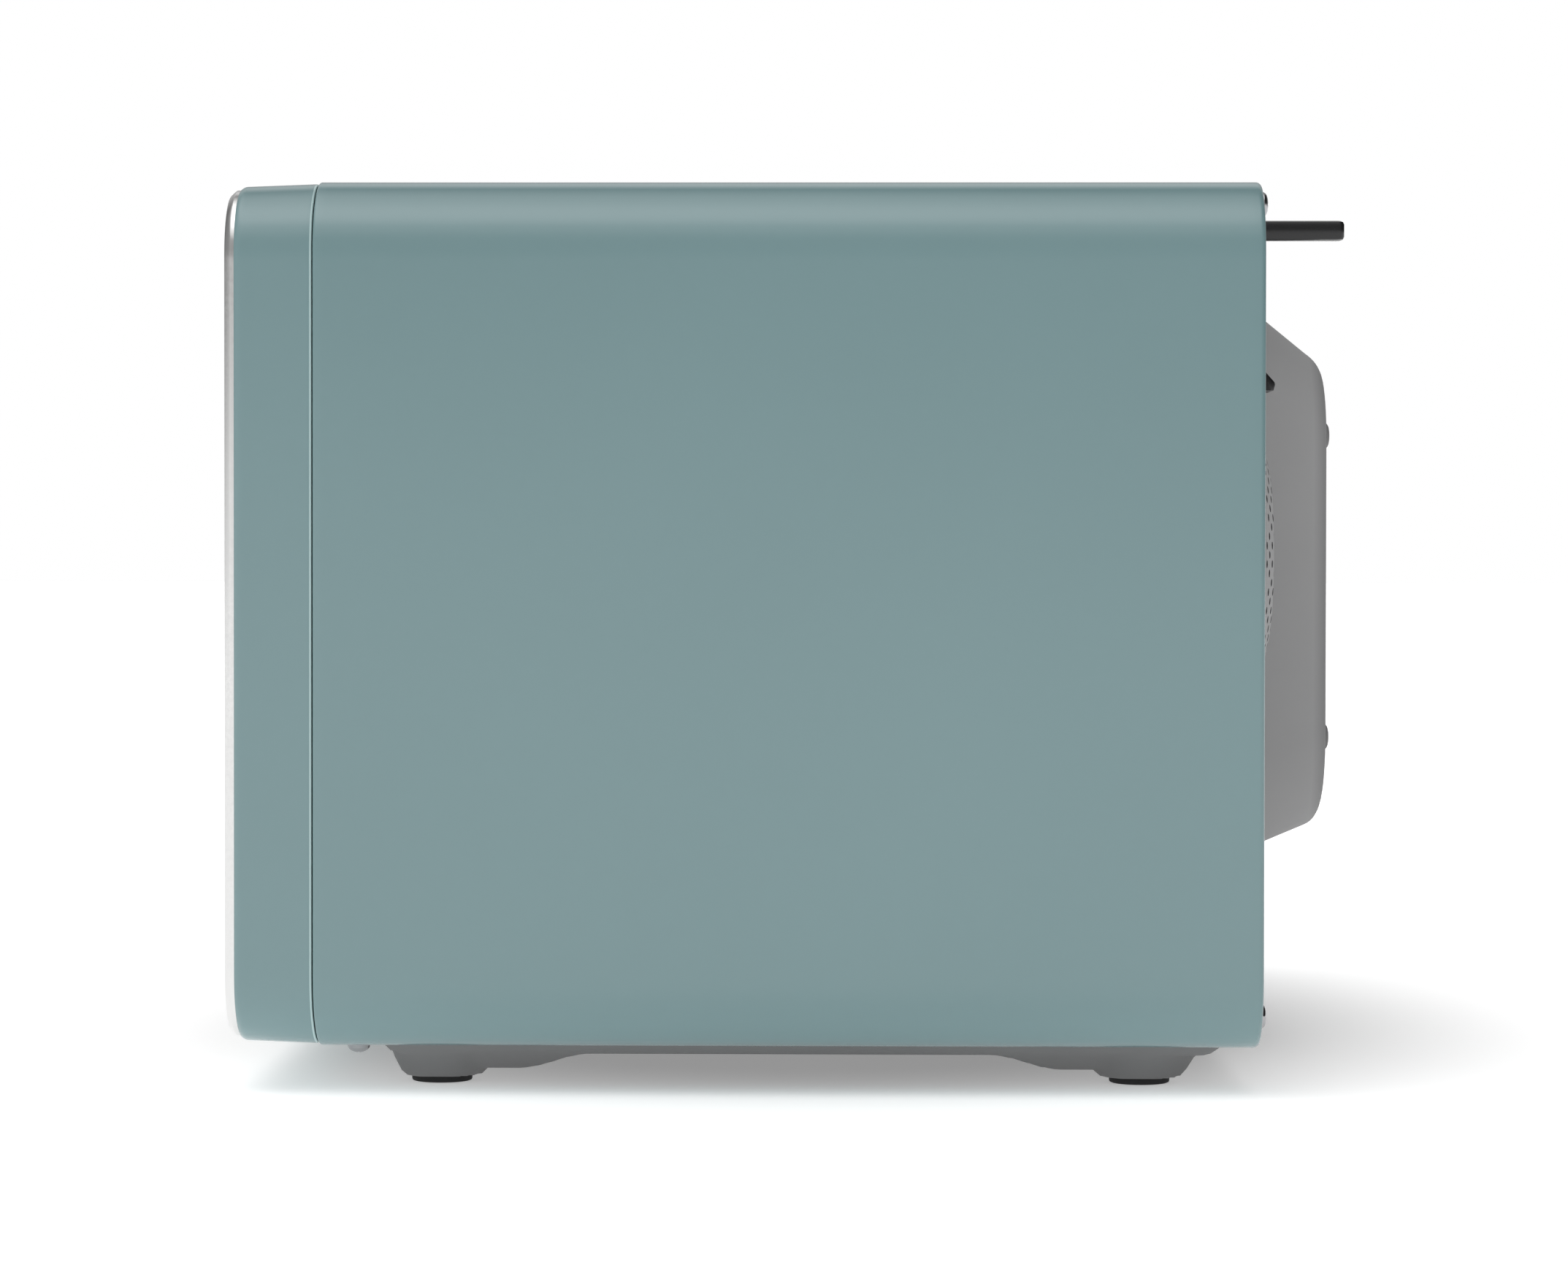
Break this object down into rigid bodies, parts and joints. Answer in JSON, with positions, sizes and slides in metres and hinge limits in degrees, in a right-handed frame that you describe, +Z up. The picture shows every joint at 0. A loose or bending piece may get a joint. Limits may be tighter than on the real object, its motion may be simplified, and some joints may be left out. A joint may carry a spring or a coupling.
{
  "type": "microwave oven",
  "caption": "Countertop microwave oven with a rounded wrap case, side-hinged door with latch, push controls, dial, turntable on rollers, cooling fan and bulged rear panel.",
  "frame": {"origin": "on the worktop, under the middle of the whole oven's box", "axes": "+Z up, -Y towards the front of the oven, +X towards the control panel side"},
  "size_m": [0.49, 0.368, 0.295],
  "materials": {
    "case_paint": "satin sage paint with a fine texture",
    "ring_paint": "satin sage, matched to the case",
    "bright_trim": "bright satin chrome",
    "grey_paint": "semi-matt grey powder coat",
    "black_rubber": "matt",
    "black_plastic": "fine moulded texture",
    "pale_plastic": "smooth moulded",
    "zinc_steel": "zinc-plated sheet",
    "cavity_enamel": "smooth light grey enamel",
    "dark_enamel": "smooth dark enamel",
    "tinted_glass": "polished, tinted nearly black",
    "clear_glass": "polished clear",
    "display_dark": "smooth",
    "circuit_board": "lacquered",
    "mica_sheet": "pale matt mica",
    "aluminium_fin": "plain sheet",
    "core_steel": "varnished laminations",
    "copper_wire": "enamelled wire",
    "screw_steel": "bright plated",
    "satin_button": "satin metallic"
  },
  "bodies": {
    "cabinet": {"outer_case": "case_paint", "rear_panel": "grey_paint", "base_plate": "grey_paint", "rubber_feet": "black_rubber", "front_plate": "zinc_steel", "cavity_liner": "cavity_enamel", "hinge_lower": "zinc_steel", "hinge_upper": "zinc_steel", "panel_shell": "ring_paint", "panel_trim": "bright_trim", "panel_glass": "tinted_glass", "display_module": "display_dark", "control_board": "circuit_board", "latch_bracket": "pale_plastic", "microswitches": "black_plastic", "waveguide": "zinc_steel", "waveguide_cover": "mica_sheet", "magnetron_yoke": "zinc_steel", "magnetron_fins": "aluminium_fin", "transformer_core": "core_steel", "transformer_coils": "copper_wire", "capacitor": "aluminium_fin", "capacitor_clamp": "zinc_steel", "hv_diode": "black_plastic", "fan_motor": "core_steel", "fan_duct": "black_plastic", "noise_filter": "circuit_board", "turntable_motor": "zinc_steel", "oven_lamp": "clear_glass", "lamp_holder": "pale_plastic", "thermal_cutouts": "black_plastic", "wall_spacers": "black_plastic", "cord_gland": "black_plastic", "rear_screws": "screw_steel", "base_screws": "screw_steel"},
    "door": {"door_shell": "ring_paint", "door_trim": "bright_trim", "door_glass": "tinted_glass", "door_frame": "dark_enamel", "door_screen": "dark_enamel", "choke_cover": "black_plastic", "door_pane": "clear_glass", "latch_spring": "screw_steel"},
    "latch": {"latch_hook": "pale_plastic"},
    "open_button": {"open_button": "satin_button"},
    "release_lever": {"release_lever": "pale_plastic"},
    "jog_dial": {"jog_dial": "satin_button"},
    "turntable": {"drive_coupler": "black_plastic", "glass_tray": "clear_glass"},
    "roller_ring": {"roller_ring": "pale_plastic"},
    "fan": {"fan_blade": "pale_plastic"},
    "button_1": {"button_1": "satin_button"},
    "button_2": {"button_2": "satin_button"},
    "button_3": {"button_3": "satin_button"},
    "button_4": {"button_4": "satin_button"},
    "button_5": {"button_5": "satin_button"},
    "button_6": {"button_6": "satin_button"},
    "roller_1": {"roller_1": "pale_plastic"},
    "roller_2": {"roller_2": "pale_plastic"},
    "roller_3": {"roller_3": "pale_plastic"}
  },
  "joints": [
    {"name": "door_swing", "type": "hinge", "parent": "cabinet", "child": "door", "pos_m": [-0.236, -0.1674, 0.1548], "axis": [0, 0, -1], "range_deg": [0, 100]},
    {"name": "open_button_press", "type": "slide", "parent": "cabinet", "child": "open_button", "axis": [0, 1, 0], "range_m": [0, 0.005], "stiffness_N_per_m": 600},
    {"name": "latch_lift", "type": "slide", "parent": "door", "child": "latch", "axis": [0, 0, 1], "range_m": [0, 0.004], "stiffness_N_per_m": 150, "deforming": ["latch_spring"]},
    {"name": "release_lever_tilt", "type": "hinge", "parent": "cabinet", "child": "release_lever", "pos_m": [0.13, -0.147, 0.057], "axis": [1, 0, 0], "range_deg": [0, 14.4]},
    {"name": "jog_dial_turn", "type": "hinge", "parent": "cabinet", "child": "jog_dial", "pos_m": [0.18, -0.178, 0.175], "axis": [0, -1, 0], "continuous": true},
    {"name": "turntable_spin", "type": "hinge", "parent": "cabinet", "child": "turntable", "pos_m": [-0.061, -0.00475, 0.05], "axis": [0, 0, 1], "continuous": true},
    {"name": "roller_ring_spin", "type": "hinge", "parent": "cabinet", "child": "roller_ring", "pos_m": [-0.061, -0.00475, 0.0501], "axis": [0, 0, 1], "continuous": true},
    {"name": "fan_spin", "type": "hinge", "parent": "cabinet", "child": "fan", "pos_m": [0.178, 0.128, 0.176], "axis": [0, 1, 0], "continuous": true},
    {"name": "button_1_press", "type": "slide", "parent": "cabinet", "child": "button_1", "axis": [0, 1, 0], "range_m": [0, 0.001], "stiffness_N_per_m": 500},
    {"name": "button_2_press", "type": "slide", "parent": "cabinet", "child": "button_2", "axis": [0, 1, 0], "range_m": [0, 0.001], "stiffness_N_per_m": 500},
    {"name": "button_3_press", "type": "slide", "parent": "cabinet", "child": "button_3", "axis": [0, 1, 0], "range_m": [0, 0.001], "stiffness_N_per_m": 500},
    {"name": "button_4_press", "type": "slide", "parent": "cabinet", "child": "button_4", "axis": [0, 1, 0], "range_m": [0, 0.001], "stiffness_N_per_m": 500},
    {"name": "button_5_press", "type": "slide", "parent": "cabinet", "child": "button_5", "axis": [0, 1, 0], "range_m": [0, 0.001], "stiffness_N_per_m": 500},
    {"name": "button_6_press", "type": "slide", "parent": "cabinet", "child": "button_6", "axis": [0, 1, 0], "range_m": [0, 0.001], "stiffness_N_per_m": 500},
    {"name": "roller_1_spin", "type": "hinge", "parent": "roller_ring", "child": "roller_1", "pos_m": [-0.061, 0.10725, 0.0501], "axis": [0, 1, 0], "continuous": true},
    {"name": "roller_2_spin", "type": "hinge", "parent": "roller_ring", "child": "roller_2", "pos_m": [-0.15799, -0.06075, 0.0501], "axis": [-0.866, -0.5, 0], "continuous": true},
    {"name": "roller_3_spin", "type": "hinge", "parent": "roller_ring", "child": "roller_3", "pos_m": [0.03599, -0.06075, 0.0501], "axis": [0.866, -0.5, 0], "continuous": true}
  ],
  "couplings": [
    {"joint": "release_lever_tilt", "follows": "open_button_press", "rad_per_m": 50},
    {"joint": "latch_lift", "follows": "open_button_press", "ratio": 0.8},
    {"joint": "roller_ring_spin", "follows": "turntable_spin", "ratio": 0.5},
    {"joint": "roller_1_spin", "follows": "turntable_spin", "ratio": -7},
    {"joint": "roller_2_spin", "follows": "turntable_spin", "ratio": -7},
    {"joint": "roller_3_spin", "follows": "turntable_spin", "ratio": -7}
  ]
}
